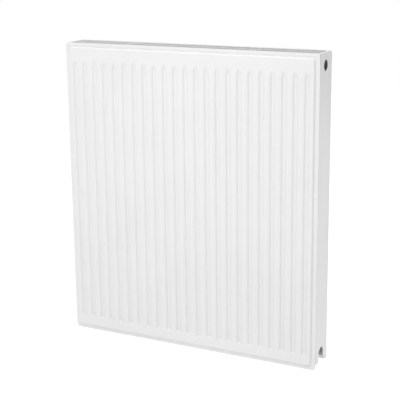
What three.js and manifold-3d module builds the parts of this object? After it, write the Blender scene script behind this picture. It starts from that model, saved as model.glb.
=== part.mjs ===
// Double-panel steel radiator with two convectors, a top grille and side covers.
// Millimetres, +Z up, the face looks along -Y, origin at the middle of the bottom.

import * as THREE from 'three';
import { mergeGeometries, mergeVertices } from 'three/addons/utils/BufferGeometryUtils.js';
import Module from 'manifold-3d';

const wasm = await Module();
wasm.setup();

// Overall size
const WIDTH = 800;
const HEIGHT = 900;
const PANEL_DEPTH = 106; // front face to the rear panel's outer face
const LUG_STAND = 7; // the hanging lugs stand this far behind the rear panel
const GAP = 0.3; // clearance between pieces that touch

// Pressed panel sheets
const SHEET = 1.2;
const FLANGE = 12; // flat seam rim round each sheet
const FLANGE_CORNER = 10;
const RISE = 6.5; // the pressed field stands this far off the rim
const SLOPE = 3; // run of the field's sloping edge
const WALL = 1; // sheet thickness measured sideways through a sloping wall
const FIELD_CORNER = 7;
const GROOVE_COUNT = 23;
const PITCH = WIDTH / (GROOVE_COUNT + 1);
const GROOVE_FLOOR = 9;
const GROOVE_SLOPE = 3.5; // run of a groove's sloping side
const FACE_GROOVE_ENDS = { bottom: 42, top: 50 }; // plain margin below and above the grooves
const INNER_GROOVE_ENDS = { bottom: 62, top: 62 }; // leaves room for the tees

// Tees that join the two panels at the corners
const TEE_X = 366;
const TEE_INSET = 36; // height of the tappings above the bottom and below the top edge
const TEE_TUBE_RADIUS = 13.5;
const TEE_TUBE_BORE = 10;
const TEE_REACH = 3; // how far the tube passes into each panel
const SOCKET_RADIUS = 14.5;
const SOCKET_BORE = 10.5; // half-inch pipe thread
const SOCKET_MOUTH = 386;

// Convector fins
const FIN_SHEET = 0.5;
const FIN_DEPTH = 34;
const FIN_FLAT = 13;
const FIN_PERIODS = 21;
const FIN_BOTTOM = 60;
const FIN_TOP = 840;

// Side covers
const COVER_SHEET = 1;
const COVER_BOTTOM = 14;
const COVER_TOP = HEIGHT - 1;
const COVER_LIP = 10;
const COVER_LIP_ENDS = 30; // the lips stop this far short of the cover's ends
const COVER_HOLE = 15;
const COVER_NOTCH = 19; // half the width of the notch round the lower tapping
const NOTCH_TOP = 54;

// Top grille
const GRILLE_SHEET = 1;
const GRILLE_TOP = HEIGHT - 1;
const GRILLE_LIP = 9;
const SLOT_WIDTH = 5;
const SLOT_LENGTH = 34;
const SLOT_PITCH = PITCH / 4;
const SLOTS_PER_ROW = 4 * GROOVE_COUNT + 2;
const SLOT_ROW_OFFSET = 19; // from the grille's centre line to each row of slots
const CLIP_SHEET = 0.8;
const CLIP_WIDTH = 15;
const CLIP_X = 200;
const CLIP_DROP = 35;
const CLIP_SPLAY = 3;

// Hanging lugs on the rear panel
const LUG_SHEET = 2;
const LUG_HEIGHT = 45;
const LUG_X = 9 * PITCH; // on a groove, so both feet stand on flat crests
const LUG_LOW = 70;
const LUG_HIGH = 785;
const LUG_HALF_BRIDGE = 8;
const LUG_HALF_FOOT_IN = 11;
const LUG_HALF_FOOT_OUT = 24;

// Air vent and blanking plug, measured outwards from the socket's mouth
const PLUG_SHANK = 10.2;
const PLUG_LENGTH = 12;
const SEAL_START = GAP;
const SEAL_END = 1.8;
const SEAL_BORE = 10.5;
const SEAL_RADIUS = 13;
const HEX_ACROSS_FLATS = 22;
const HEX_START = SEAL_END + GAP;
const HEX_END = 6.1;
const BLANK_HEX_END = 8.1;
const KEY_ACROSS_FLATS = 12;
const KEY_START = 3;
const SPIGOT_RADIUS = 6;
const SPIGOT_END = 11.1;
const OUTLET_RADIUS = 9.5;
const OUTLET_BORE = 6.3;
const OUTLET_END = 10.9;
const SPOUT_RADIUS = 2.2;
const SPOUT_BORE = 1.1;
const SPOUT_REACH = 13.5;
const SCREW_RADIUS = 2.2;
const SCREW_BORE = 2.5;
const SCREW_IN = 2;
const SCREW_SQUARE = 5;
const SCREW_END = 13.6;

// Planes across the depth
const FRONT_FACE = -(PANEL_DEPTH + LUG_STAND) / 2;
const REAR_FACE = FRONT_FACE + PANEL_DEPTH;
const SHEET_DEPTH = GAP / 2 + SHEET + RISE; // seam plane to a sheet's pressed field
const FRONT_SEAM = FRONT_FACE + SHEET_DEPTH;
const REAR_SEAM = REAR_FACE - SHEET_DEPTH;
const MIDDLE = (FRONT_SEAM + REAR_SEAM) / 2;
const FLANGE_FACE = GAP / 2 + SHEET; // seam plane to a rim's outer face
const FRONT_INNER_RIM = FRONT_SEAM + FLANGE_FACE;
const REAR_INNER_RIM = REAR_SEAM - FLANGE_FACE;
const FRONT_INNER_FIELD = FRONT_SEAM + SHEET_DEPTH;
const REAR_INNER_FIELD = REAR_SEAM - SHEET_DEPTH;

const OUTER_CURVE_STEPS = 2; // a rounded end or corner has twice as many straight steps
const INNER_CURVE_STEPS = 1;
const ROUND_SIDES = 16;
const SMALL_ROUND_SIDES = 12;
const OVERCUT = 1; // cutters run past the surface by this much

const PAINT = { color: 0xf3f3f1, roughness: 0.35, metalness: 0 };
const PRIMER = { color: 0x8c8c8d, roughness: 0.5, metalness: 0 };
const DARK_STEEL = { color: 0x26272a, roughness: 0.55, metalness: 0.6 };
const NICKEL = { color: 0xc9c6bd, roughness: 0.25, metalness: 1 };
const SEAL = { color: 0x1d1d1d, roughness: 0.8, metalness: 0 };
const PLASTIC = { color: 0xf0efeb, roughness: 0.45, metalness: 0 };

// Solids

function solidOf(geometry) {
  const bare = geometry.clone();
  bare.deleteAttribute('normal');
  bare.deleteAttribute('uv');
  const merged = mergeVertices(bare);
  return new wasm.Manifold(new wasm.Mesh({
    numProp: 3,
    vertProperties: Float32Array.from(merged.attributes.position.array),
    triVerts: Uint32Array.from(merged.index.array),
  }));
}

function geometryOf(solid) {
  const mesh = solid.getMesh();
  const geometry = new THREE.BufferGeometry();
  geometry.setAttribute('position', new THREE.BufferAttribute(mesh.vertProperties, 3));
  geometry.setIndex(new THREE.BufferAttribute(mesh.triVerts, 1));
  geometry.computeVertexNormals();
  return geometry;
}

function named(name, geometry, finish) {
  const mesh = new THREE.Mesh(geometry, new THREE.MeshStandardMaterial(finish));
  mesh.name = name;
  return mesh;
}

// A block between two corners given in any order.
function block(a, b) {
  const size = [0, 1, 2].map((axis) => Math.abs(b[axis] - a[axis]));
  const centre = [0, 1, 2].map((axis) => (a[axis] + b[axis]) / 2);
  return new THREE.BoxGeometry(...size).translate(...centre);
}

// A round or, with six sides, hexagonal bar along X between two places.
function barAlongX(radius, from, to, y, z, sides) {
  const bar = new THREE.CylinderGeometry(radius, radius, Math.abs(to - from), sides);
  return bar.rotateZ(Math.PI / 2).translate((from + to) / 2, y, z);
}

function barAlongY(radius, from, to, x, z, sides) {
  const bar = new THREE.CylinderGeometry(radius, radius, to - from, sides);
  return bar.translate(x, (from + to) / 2, z);
}

// The outline of a folded strip of sheet metal along a centre line, with mitred bends.
function foldedStrip(centreLine, thickness) {
  const points = centreLine.map(([x, y]) => new THREE.Vector2(x, y));
  const offsets = points.map((point, i) => {
    const before = i > 0 ? point.clone().sub(points[i - 1]).normalize() : null;
    const after = i < points.length - 1 ? points[i + 1].clone().sub(point).normalize() : null;
    const first = before ?? after;
    const second = after ?? before;
    const along = first.clone().add(second).normalize();
    const stretch = thickness / 2 / along.dot(first);
    return new THREE.Vector2(-along.y, along.x).multiplyScalar(stretch);
  });
  const near = points.map((point, i) => point.clone().sub(offsets[i]));
  const far = points.map((point, i) => point.clone().add(offsets[i])).reverse();
  return new THREE.Shape([...near, ...far]);
}

// Extrudes an outline drawn in X and Y upwards from a height.
function extrudeUp(shape, from, to) {
  const options = { depth: to - from, bevelEnabled: false };
  return new THREE.ExtrudeGeometry(shape, options).translate(0, 0, from);
}

// Extrudes an outline drawn in Y and Z along X between two places.
function extrudeAcross(shape, from, to) {
  const turn = new THREE.Matrix4().makeBasis(
    new THREE.Vector3(0, 1, 0),
    new THREE.Vector3(0, 0, 1),
    new THREE.Vector3(1, 0, 0),
  );
  const options = { depth: to - from, bevelEnabled: false };
  return new THREE.ExtrudeGeometry(shape, options).applyMatrix4(turn).translate(from, 0, 0);
}

// Pressed panel sheets, drawn flat with the outward side up

function roundedRectangle(inset, radius) {
  const right = WIDTH / 2 - inset - radius;
  const low = inset + radius;
  const high = HEIGHT - inset - radius;
  const shape = new THREE.Shape();
  shape.absarc(right, low, radius, -Math.PI / 2, 0);
  shape.absarc(right, high, radius, 0, Math.PI / 2);
  shape.absarc(-right, high, radius, Math.PI / 2, Math.PI);
  shape.absarc(-right, low, radius, Math.PI, 1.5 * Math.PI);
  return shape;
}

function grooveOutlines(floorWidth, ends) {
  const radius = floorWidth / 2;
  const low = ends.bottom + GROOVE_SLOPE + GROOVE_FLOOR / 2;
  const high = HEIGHT - ends.top - GROOVE_SLOPE - GROOVE_FLOOR / 2;
  return Array.from({ length: GROOVE_COUNT }, (_, i) => {
    const x = (i + 1) * PITCH - WIDTH / 2;
    const shape = new THREE.Shape();
    shape.absarc(x, high, radius, 0, Math.PI);
    shape.absarc(x, low, radius, Math.PI, 2 * Math.PI);
    return shape;
  });
}

// A body whose outline is the given one at its top or bottom and spreads by slope over rise.
function flared(shapes, rise, slope, curveSteps) {
  return new THREE.ExtrudeGeometry(shapes, {
    depth: OVERCUT,
    curveSegments: curveSteps,
    bevelThickness: rise,
    bevelSize: slope,
    bevelSegments: 1,
  });
}

// The raised field: the crest outline at height rise above base, spreading downwards.
function field(extraInset, base, curveSteps) {
  const crest = roundedRectangle(FLANGE + SLOPE + extraInset, FIELD_CORNER);
  const body = flared(crest, RISE, SLOPE, curveSteps).translate(0, 0, base - OVERCUT);
  return solidOf(body).trimByPlane([0, 0, 1], base - OVERCUT);
}

// The grooves: their floors at height base, spreading upwards.
function grooves(extraWidth, ends, base, curveSteps) {
  const outlines = grooveOutlines(GROOVE_FLOOR + 2 * extraWidth, ends);
  const bodies = flared(outlines, RISE, GROOVE_SLOPE, curveSteps);
  return solidOf(bodies.translate(0, 0, base + RISE));
}

// A sheet is the outer surface's body less the same shape one sheet lower down.
function pressedSheet(ends, curveSteps, holes) {
  const rim = roundedRectangle(0, FLANGE_CORNER);
  const plate = new THREE.ExtrudeGeometry(rim, {
    depth: SHEET,
    curveSegments: OUTER_CURVE_STEPS,
    bevelEnabled: false,
  });
  const raised = solidOf(plate).add(field(0, SHEET, curveSteps));
  const outside = raised.subtract(grooves(0, ends, SHEET, curveSteps));
  const inside = field(WALL, 0, curveSteps).subtract(grooves(WALL, ends, 0, curveSteps));
  const sheet = holes.reduce((solid, hole) => solid.subtract(hole), outside.subtract(inside));
  return geometryOf(sheet).rotateX(Math.PI / 2).translate(0, -GAP / 2, 0);
}

function teeHoles() {
  const levels = [TEE_INSET, HEIGHT - TEE_INSET];
  return levels.flatMap((level) => [-TEE_X, TEE_X].map((x) => {
    const drill = new THREE.CylinderGeometry(
      TEE_TUBE_RADIUS + GAP,
      TEE_TUBE_RADIUS + GAP,
      RISE,
      ROUND_SIDES,
    );
    return solidOf(drill.rotateX(Math.PI / 2).translate(x, level, RISE + SHEET));
  }));
}

function panel(name, seam) {
  const outer = pressedSheet(FACE_GROOVE_ENDS, OUTER_CURVE_STEPS, []);
  const inner = pressedSheet(INNER_GROOVE_ENDS, INNER_CURVE_STEPS, teeHoles());
  const group = new THREE.Group();
  const innerMesh = named(`${name}_panel_inner_sheet`, inner, PRIMER);
  innerMesh.rotation.z = Math.PI;
  group.add(named(`${name}_panel_outer_sheet`, outer, PAINT), innerMesh);
  group.position.y = seam;
  return group;
}

// Convectors

// One corrugated sheet whose flats touch the panel on the channel crests.
function convector(name, panelSide, outerSide) {
  const start = (-FIN_PERIODS * PITCH) / 2;
  const half = FIN_FLAT / 2;
  const line = [[start - half, panelSide]];
  for (let i = 0; i < FIN_PERIODS; i += 1) {
    const crest = start + i * PITCH;
    const trough = crest + PITCH / 2;
    line.push([crest + half, panelSide], [trough - half, outerSide]);
    line.push([trough + half, outerSide], [crest + PITCH - half, panelSide]);
  }
  line.push([-start + half, panelSide]);
  const shape = foldedStrip(line, FIN_SHEET);
  return named(name, extrudeUp(shape, FIN_BOTTOM, FIN_TOP), PRIMER);
}

function convectors() {
  const skin = GAP + FIN_SHEET / 2;
  const front = FRONT_INNER_FIELD + skin;
  const rear = REAR_INNER_FIELD - skin;
  return [
    convector('front_convector', front, front + FIN_DEPTH),
    convector('rear_convector', rear, rear - FIN_DEPTH),
  ];
}

// Tees: a tube across the depth with a threaded socket that faces sideways

function tee(side, level) {
  const from = FRONT_INNER_FIELD - TEE_REACH;
  const to = REAR_INNER_FIELD + TEE_REACH;
  const x = side * TEE_X;
  const mouth = side * SOCKET_MOUTH;
  const pastMouth = mouth + side * OVERCUT;
  const tube = solidOf(barAlongY(TEE_TUBE_RADIUS, from, to, x, level, ROUND_SIDES));
  const socket = solidOf(barAlongX(SOCKET_RADIUS, x, mouth, MIDDLE, level, ROUND_SIDES));
  const tubeBore = barAlongY(TEE_TUBE_BORE, from - OVERCUT, to + OVERCUT, x, level, ROUND_SIDES);
  const socketBore = barAlongX(SOCKET_BORE, x, pastMouth, MIDDLE, level, ROUND_SIDES);
  return geometryOf(tube.add(socket).subtract(solidOf(tubeBore)).subtract(solidOf(socketBore)));
}

function tees() {
  return [['bottom', TEE_INSET], ['top', HEIGHT - TEE_INSET]].flatMap(([row, level]) => [
    named(`tapping_tee_${row}_left`, tee(-1, level), DARK_STEEL),
    named(`tapping_tee_${row}_right`, tee(1, level), DARK_STEEL),
  ]);
}

// Side covers: a plate with a lip inside the front panel's rim and a lip hooked behind the rear one

function sideCover(side) {
  const outside = (side * WIDTH) / 2;
  const inside = outside - side * COVER_SHEET;
  const lipEnd = inside - side * COVER_LIP;
  const front = FRONT_INNER_RIM + GAP;
  const rear = REAR_INNER_RIM - GAP;
  const lipLow = COVER_BOTTOM + COVER_LIP_ENDS;
  const lipHigh = COVER_TOP - COVER_LIP_ENDS;
  const plate = solidOf(block([inside, front, COVER_BOTTOM], [outside, rear, COVER_TOP]));
  const frontLip = solidOf(block([lipEnd, front, lipLow], [outside, front + COVER_SHEET, lipHigh]));
  const rearLip = solidOf(block([lipEnd, rear - COVER_SHEET, lipLow], [outside, rear, lipHigh]));
  const cutFrom = inside - side * OVERCUT;
  const cutTo = outside + side * OVERCUT;
  const holeLevel = HEIGHT - TEE_INSET;
  const hole = barAlongX(COVER_HOLE, cutFrom, cutTo, MIDDLE, holeLevel, ROUND_SIDES);
  const archLevel = NOTCH_TOP - COVER_NOTCH;
  const arch = barAlongX(COVER_NOTCH, cutFrom, cutTo, MIDDLE, archLevel, ROUND_SIDES);
  const notch = block([cutFrom, MIDDLE - COVER_NOTCH, 0], [cutTo, MIDDLE + COVER_NOTCH, archLevel]);
  const cuts = [hole, arch, notch].map(solidOf);
  const shell = plate.add(frontLip).add(rearLip);
  return geometryOf(cuts.reduce((solid, cut) => solid.subtract(cut), shell));
}

// Top grille with two rows of slots, and the spring clips under it

function grille() {
  const half = GRILLE_SHEET / 2;
  const front = FRONT_INNER_RIM + GAP + half;
  const rear = REAR_INNER_RIM - GAP - half;
  const top = GRILLE_TOP - half;
  const bottom = GRILLE_TOP - GRILLE_LIP;
  const section = foldedStrip([[rear, bottom], [rear, top], [front, top], [front, bottom]], GRILLE_SHEET);
  const end = WIDTH / 2 - COVER_SHEET - GAP;
  const channel = solidOf(extrudeAcross(section, -end, end));
  const slots = [];
  for (const row of [-SLOT_ROW_OFFSET, SLOT_ROW_OFFSET]) {
    for (let i = 0; i < SLOTS_PER_ROW; i += 1) {
      const x = (i - (SLOTS_PER_ROW - 1) / 2) * SLOT_PITCH;
      const y = MIDDLE + row;
      const low = [x - SLOT_WIDTH / 2, y - SLOT_LENGTH / 2, GRILLE_TOP - 2 * GRILLE_SHEET];
      const high = [x + SLOT_WIDTH / 2, y + SLOT_LENGTH / 2, GRILLE_TOP + OVERCUT];
      slots.push(block(low, high));
    }
  }
  return named('top_grille', geometryOf(channel.subtract(solidOf(mergeGeometries(slots)))), PAINT);
}

function grilleClip(name, x) {
  const top = GRILLE_TOP - GRILLE_SHEET - GAP - CLIP_SHEET / 2;
  const low = top - CLIP_DROP;
  const knee = (top + low) / 2;
  const front = FRONT_INNER_FIELD + GAP + CLIP_SHEET;
  const rear = REAR_INNER_FIELD - GAP - CLIP_SHEET;
  const line = [
    [rear, low],
    [rear - CLIP_SPLAY, knee],
    [rear - CLIP_SPLAY, top],
    [front + CLIP_SPLAY, top],
    [front + CLIP_SPLAY, knee],
    [front, low],
  ];
  const section = foldedStrip(line, CLIP_SHEET);
  return named(name, extrudeAcross(section, x - CLIP_WIDTH / 2, x + CLIP_WIDTH / 2), NICKEL);
}

// Hanging lugs: a bridge over one groove of the rear panel, with a foot on the crest each side

function lug(name, x, bottom) {
  const foot = REAR_FACE + GAP + LUG_SHEET / 2;
  const bridge = REAR_FACE + LUG_STAND - LUG_SHEET / 2;
  const line = [
    [x - LUG_HALF_FOOT_OUT, foot],
    [x - LUG_HALF_FOOT_IN, foot],
    [x - LUG_HALF_BRIDGE, bridge],
    [x + LUG_HALF_BRIDGE, bridge],
    [x + LUG_HALF_FOOT_IN, foot],
    [x + LUG_HALF_FOOT_OUT, foot],
  ];
  const section = foldedStrip(line, LUG_SHEET);
  return named(name, extrudeUp(section, bottom, bottom + LUG_HEIGHT), PAINT);
}

// Air vent and blanking plug on the left side, drawn outwards along +X from the socket's mouth

function hexRadius(acrossFlats) {
  return acrossFlats / 2 / Math.cos(Math.PI / 6);
}

function round(radius, from, to, sides) {
  return solidOf(barAlongX(radius, from, to, 0, 0, sides));
}

function plugBody(hexEnd) {
  const shank = round(PLUG_SHANK, -PLUG_LENGTH, HEX_START + OVERCUT, ROUND_SIDES);
  return shank.add(round(hexRadius(HEX_ACROSS_FLATS), HEX_START, hexEnd, 6));
}

function sealRing() {
  const outside = round(SEAL_RADIUS, SEAL_START, SEAL_END, ROUND_SIDES);
  return geometryOf(outside.subtract(round(SEAL_BORE, -OVERCUT, SEAL_END + OVERCUT, ROUND_SIDES)));
}

function airVentBody() {
  const spigot = round(SPIGOT_RADIUS, HEX_START, SPIGOT_END, ROUND_SIDES);
  const bore = round(SCREW_BORE, -PLUG_LENGTH - OVERCUT, SPIGOT_END + OVERCUT, SMALL_ROUND_SIDES);
  return geometryOf(plugBody(HEX_END).add(spigot).subtract(bore));
}

function airVentOutlet() {
  const start = HEX_END + GAP;
  const middle = (start + OUTLET_END) / 2;
  const inside = (OUTLET_RADIUS + OUTLET_BORE) / 2;
  const ring = round(OUTLET_RADIUS, start, OUTLET_END, ROUND_SIDES);
  const hollow = round(OUTLET_BORE, start - OVERCUT, OUTLET_END + OVERCUT, ROUND_SIDES);
  const spout = new THREE.CylinderGeometry(
    SPOUT_RADIUS,
    SPOUT_RADIUS,
    SPOUT_REACH - inside,
    SMALL_ROUND_SIDES,
  );
  spout.rotateX(Math.PI / 2).translate(middle, 0, -(SPOUT_REACH + inside) / 2);
  const jet = new THREE.CylinderGeometry(SPOUT_BORE, SPOUT_BORE, SPOUT_REACH, SMALL_ROUND_SIDES);
  jet.rotateX(Math.PI / 2).translate(middle, 0, -SPOUT_REACH / 2 - SPOUT_RADIUS);
  return geometryOf(ring.add(solidOf(spout)).subtract(hollow).subtract(solidOf(jet)));
}

function bleedScrew() {
  const half = SCREW_SQUARE / 2;
  const headStart = SPIGOT_END + GAP;
  const shank = round(SCREW_RADIUS, -SCREW_IN, headStart + OVERCUT, SMALL_ROUND_SIDES);
  const head = solidOf(block([headStart, -half, -half], [SCREW_END, half, half]));
  return geometryOf(shank.add(head));
}

function blankingPlug() {
  const key = round(hexRadius(KEY_ACROSS_FLATS), KEY_START, BLANK_HEX_END + OVERCUT, 6);
  return geometryOf(plugBody(BLANK_HEX_END).subtract(key));
}

function leftFitting(level, meshes) {
  const group = new THREE.Group();
  group.add(...meshes);
  group.rotation.z = Math.PI;
  group.position.set(-SOCKET_MOUTH, MIDDLE, level);
  return group;
}

// Assembly

const radiator = new THREE.Group();

const rearPanel = panel('rear', 0);
rearPanel.rotation.z = Math.PI;
rearPanel.position.y = REAR_SEAM;
radiator.add(panel('front', FRONT_SEAM), rearPanel);

radiator.add(...convectors(), ...tees());
radiator.add(named('side_cover_left', sideCover(-1), PAINT));
radiator.add(named('side_cover_right', sideCover(1), PAINT));

radiator.add(grille());
radiator.add(grilleClip('grille_clip_left', -CLIP_X), grilleClip('grille_clip_right', CLIP_X));

for (const [row, bottom] of [['bottom', LUG_LOW], ['top', LUG_HIGH]]) {
  radiator.add(lug(`hanging_lug_${row}_left`, -LUG_X, bottom));
  radiator.add(lug(`hanging_lug_${row}_right`, LUG_X, bottom));
}

radiator.add(leftFitting(HEIGHT - TEE_INSET, [
  named('air_vent_body', airVentBody(), NICKEL),
  named('air_vent_seal', sealRing(), SEAL),
  named('air_vent_outlet', airVentOutlet(), PLASTIC),
  named('bleed_screw', bleedScrew(), NICKEL),
]));
radiator.add(leftFitting(TEE_INSET, [
  named('blanking_plug', blankingPlug(), NICKEL),
  named('blanking_plug_seal', sealRing(), SEAL),
]));

export default radiator;
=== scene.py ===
import math

import bmesh
import bpy
import numpy as np
from mathutils import Matrix, Vector


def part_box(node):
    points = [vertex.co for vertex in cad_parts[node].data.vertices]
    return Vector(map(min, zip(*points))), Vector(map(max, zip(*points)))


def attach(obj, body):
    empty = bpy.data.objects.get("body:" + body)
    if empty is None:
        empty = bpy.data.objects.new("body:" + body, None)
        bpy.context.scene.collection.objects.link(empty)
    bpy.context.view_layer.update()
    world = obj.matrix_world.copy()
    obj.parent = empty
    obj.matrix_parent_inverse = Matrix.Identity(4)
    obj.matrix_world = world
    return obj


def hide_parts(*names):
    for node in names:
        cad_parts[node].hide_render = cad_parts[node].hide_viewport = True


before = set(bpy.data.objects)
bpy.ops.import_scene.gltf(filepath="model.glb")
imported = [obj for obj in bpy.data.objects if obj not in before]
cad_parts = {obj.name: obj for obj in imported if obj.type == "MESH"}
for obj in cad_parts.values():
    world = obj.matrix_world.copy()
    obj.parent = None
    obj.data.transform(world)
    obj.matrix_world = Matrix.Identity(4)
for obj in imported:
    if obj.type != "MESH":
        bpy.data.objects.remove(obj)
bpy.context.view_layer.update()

# Everything is in metres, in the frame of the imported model: +Z up, the grooved face looks along -Y.

# Pressed panel sheets
SHEET = 0.0012
FLANGE = 0.012
FLANGE_CORNER = 0.010
FIELD_SLOPE = 0.002
FIELD_CORNER = 0.007
GROOVES = 23
GROOVE_FLOOR = 0.009
GROOVE_SLOPE = 0.0035
FACE_GROOVE_ENDS = (0.042, 0.050)  # plain margin below and above the grooves
INNER_GROOVE_ENDS = (0.062, 0.062)
GROOVE_RUN_OUT = (1.0, 0.3)  # how steeply a groove ends, below and above, as a share of its sides
GROOVE_BLEND = 0.45  # how far a groove's edges round off, as a share of its slope
FIELD_BLEND = 0.2  # the same for the raised field's edge
RIM_EDGE = 0.0004
WELD_TRACK = 0.0050  # the seam weld runs this far in from the rim's edge
WELD_TRACK_HALF = 0.0020
WELD_TRACK_DEPTH = 0.00018
CREASE = (0.0098, 0.0103, 0.0118, FLANGE)  # at the field's foot: its near edge, its bottom, its far edge
CREASE_DEPTH = 0.0007

# Grid lines that a pressed sheet's mesh has over each detail
RIM_LINES = (0.0, 0.4 * RIM_EDGE, RIM_EDGE, 0.0022)
WELD_TRACK_LINES = 6
FIELD_SLOPE_LINES = 9
CORNER_LINE = 0.6  # one line this far through the field's corner, and one at its end
GROOVE_WALL_LINES = 7
GROOVE_END_LINES = 14
GROOVE_LENGTH_LINES = 7

# The outer coat on the inner sheets
COAT_REACH = 0.008  # covers them this far in from their edges
COAT_FADE = 0.006
COAT_COLOUR = (0.84, 0.842, 0.842)

# Folded sheet pieces
BEND = 0.0015  # bend radius at the middle of the sheet
BEND_STEPS = 6
COVER_SHEET = 0.001
COVER_LIP_ENDS = 0.030
COVER_LIP_CORNER = 0.003
COVER_HOLE = 0.015
COVER_NOTCH = 0.019
COVER_NOTCH_TOP = 0.054
HOLE_STEPS = 56
NOTCH_STEPS = 24
LIP_CORNER_STEPS = 5
GRILLE_SHEET = 0.001
SLOT_WIDTH = 0.005
SLOT_LENGTH = 0.034
SLOTS_PER_ROW = 4 * GROOVES + 2
SLOT_ROW_OFFSET = 0.019
CLIP_SHEET = 0.0008
CLIP_BEND = 0.003
CLIP_ROUND = 0.0002
CLIP_SPLAY = 0.003  # the legs stand this much further apart at their feet, on each side
LUG_SHEET = 0.002
LUG_BEND = 0.0016
LUG_ROUND = 0.0004
LUG_BRIDGE_HALF = 0.008
LUG_FOOT = 0.011  # from the lug's middle to where its foot begins
FIN_SHEET = 0.0005
FIN_FLAT = 0.013
FIN_BEND = 0.0022
FIN_STATIONS = 4
EDGE_ROUND = 0.00018  # rounding of cut sheet edges
LEG_SHARE = 0.45  # a bend takes up no more than this share of the straight before it
MERGE_DISTANCE = 1e-6
CUT_TOLERANCE = 1e-7

# Threads
THREAD_PITCH = 0.001814
THREAD_DEPTH = 0.00116
THREAD_STEPS = 6  # sections in one turn
SHANK_THREAD_SHARE = 0.9  # a plug's thread is this much as deep as a socket's

# Tees
TEE_TUBE_RADIUS = 0.0135
TEE_TUBE_BORE = 0.010
SOCKET_BORE = 0.0105
SOCKET_CHAMFER = 0.001
CHAMFER_TURN = 0.3  # the chamfer's own edge lies this far along it
SOCKET_MOUTH_EASE = 0.0004
SOCKET_FOOT = 0.002  # how long the rounding at the socket's foot is
DRILL_LENGTH = 0.03
WELD_BEAD = (  # along the tube from its end, and out from its wall
    (0.0, -0.0005),
    (0.0, 0.0022),
    (0.0008, 0.0019),
    (0.0018, 0.0009),
    (0.0024, -0.0002),
)

# Fittings: distances along X are outwards from the mouth of a socket
SEAL_START, SEAL_END = 0.0003, 0.0018
SEAL_INNER, SEAL_OUTER = 0.0105, 0.013
SEAL_ROUND = 0.0004
SHANK_LENGTH = 0.012
SHANK_LEAD = 0.0008  # from the shank's tip to where its thread begins
SHANK_RADIUS = 0.0102
SHANK_NECK = SHANK_RADIUS - 0.0004
SHANK_TIP = ((0.0, 0.0085), (0.0006, 0.0092))  # in from the shank's tip, and the radius there
NECK_START = 0.0002
HEX_ACROSS = 0.022
HEX_START, HEX_END, BLANK_HEX_END = 0.0021, 0.0061, 0.0081
HEX_CHAMFER = ((0.0, 0.0), (0.0004, 0.0006), (0.0009, 0.0020))  # in from the face, out from the flats
KEY_ACROSS = 0.012
KEY_FLOOR = 0.003
KEY_MOUTH = 0.0078
KEY_CHAMFER = 0.0007
SPIGOT_END = 0.0111
SPIGOT_RADIUS = 0.006
SPIGOT_BORE = 0.0025
SPIGOT_FILLET = (0.0002, 0.0012)  # at its foot: along it, and out from it
SPIGOT_CHAMFER = 0.0005
BORE_CHAMFER = 0.0004
OUTLET_START, OUTLET_END = 0.0064, 0.0109
OUTLET_INNER, OUTLET_OUTER = 0.0063, 0.0095
OUTLET_EDGE = ((0.0, 0.0009), (0.0003, 0.0004))  # its rounded edge: in from the face, in from the rim
OUTLET_PLAIN = 0.0009  # the plain band before the knurls
KNURLS = 24
KNURL_DEPTH = 0.00022
OUTLET_SIDES = 192
SPOUT = (  # down from the outlet's middle, and the radius there
    (0.0078, 0.0011),
    (0.0078, 0.0022),
    (0.0130, 0.0022),
    (0.0135, 0.0018),
    (0.0135, 0.0013),
    (0.0131, 0.0011),
)
SPOUT_SIDES = 32
SQUARE_ACROSS = 0.005
SQUARE_START, SQUARE_END = 0.0114, 0.0136
SQUARE_HEEL = (0.0003, 0.0008)  # its chamfers: in from the face, out from the flats
SQUARE_NOSE = ((0.0005, 0.0008), (0.0001, 0.0), (0.0, -0.0004))
SCREW_RADIUS = 0.0022
SCREW_TIP = -0.002
SCREW_TIP_CHAMFER = 0.0006
TURNED_SIDES = 64

# Edges sharper than this many degrees stay sharp
SHEET_SHARP = 50.0
FOLD_SHARP = 40.0
TEE_SHARP = 35.0
FITTING_SHARP = 30.0
BEVEL_ANGLE = 60.0

# Camera: where it stands round the radiator, what it looks at and how it frames it
CAMERA_AZIMUTH = 26.6
CAMERA_ELEVATION = 13.37
CAMERA_ROLL = 0.62
CAMERA_DISTANCE = 2.96
CAMERA_LENS = 91.1
CAMERA_SHIFT = -0.07
CAMERA_TARGET = Vector((0.017, 0.0, 0.532))

# Floor
FLOOR_LEVEL = -0.7  # the radiator hangs, clear of the floor
FLOOR_REACH = 9.0
FLOOR_LINES = 25
FLOOR_GLOW = 0.12

# Studio light
BACKDROP_STRENGTH = 1.0
FILL_STRENGTH = 0.39
CEILING_PLACE = (0.0, 0.0, 4.0)
CEILING_STRENGTH = 2.0
CEILING_SPREAD = 80.0
SOFTBOX_PLACE = (0.0, -2.4, 2.2)
SOFTBOX_TARGET = (0.0, 0.0, 0.8)
SOFTBOX_SIZE = 1.2
SOFTBOX_SPREAD = 60.0
SOFTBOX_POWER = 3.6

# Surfaces
NOISE_RANGE = (0.35, 0.65)  # where most of a noise texture's values lie
GLOSS_SCALE = 0.125  # patches of gloss are eight times as wide as the grain
BUMP_DISTANCE = 0.0005


# Materials


def new_material(name):
    material = bpy.data.materials.new(name)
    material.use_nodes = True
    return material, material.node_tree.nodes, material.node_tree.links


def link_noise(nodes, links, scale, detail=3.0):
    """A noise texture over the object's own coordinates; features are about 1 / scale metres."""
    place = nodes.new("ShaderNodeTexCoord")
    noise = nodes.new("ShaderNodeTexNoise")
    noise.inputs["Scale"].default_value = scale
    noise.inputs["Detail"].default_value = detail
    links.new(place.outputs["Object"], noise.inputs["Vector"])
    return noise


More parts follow.
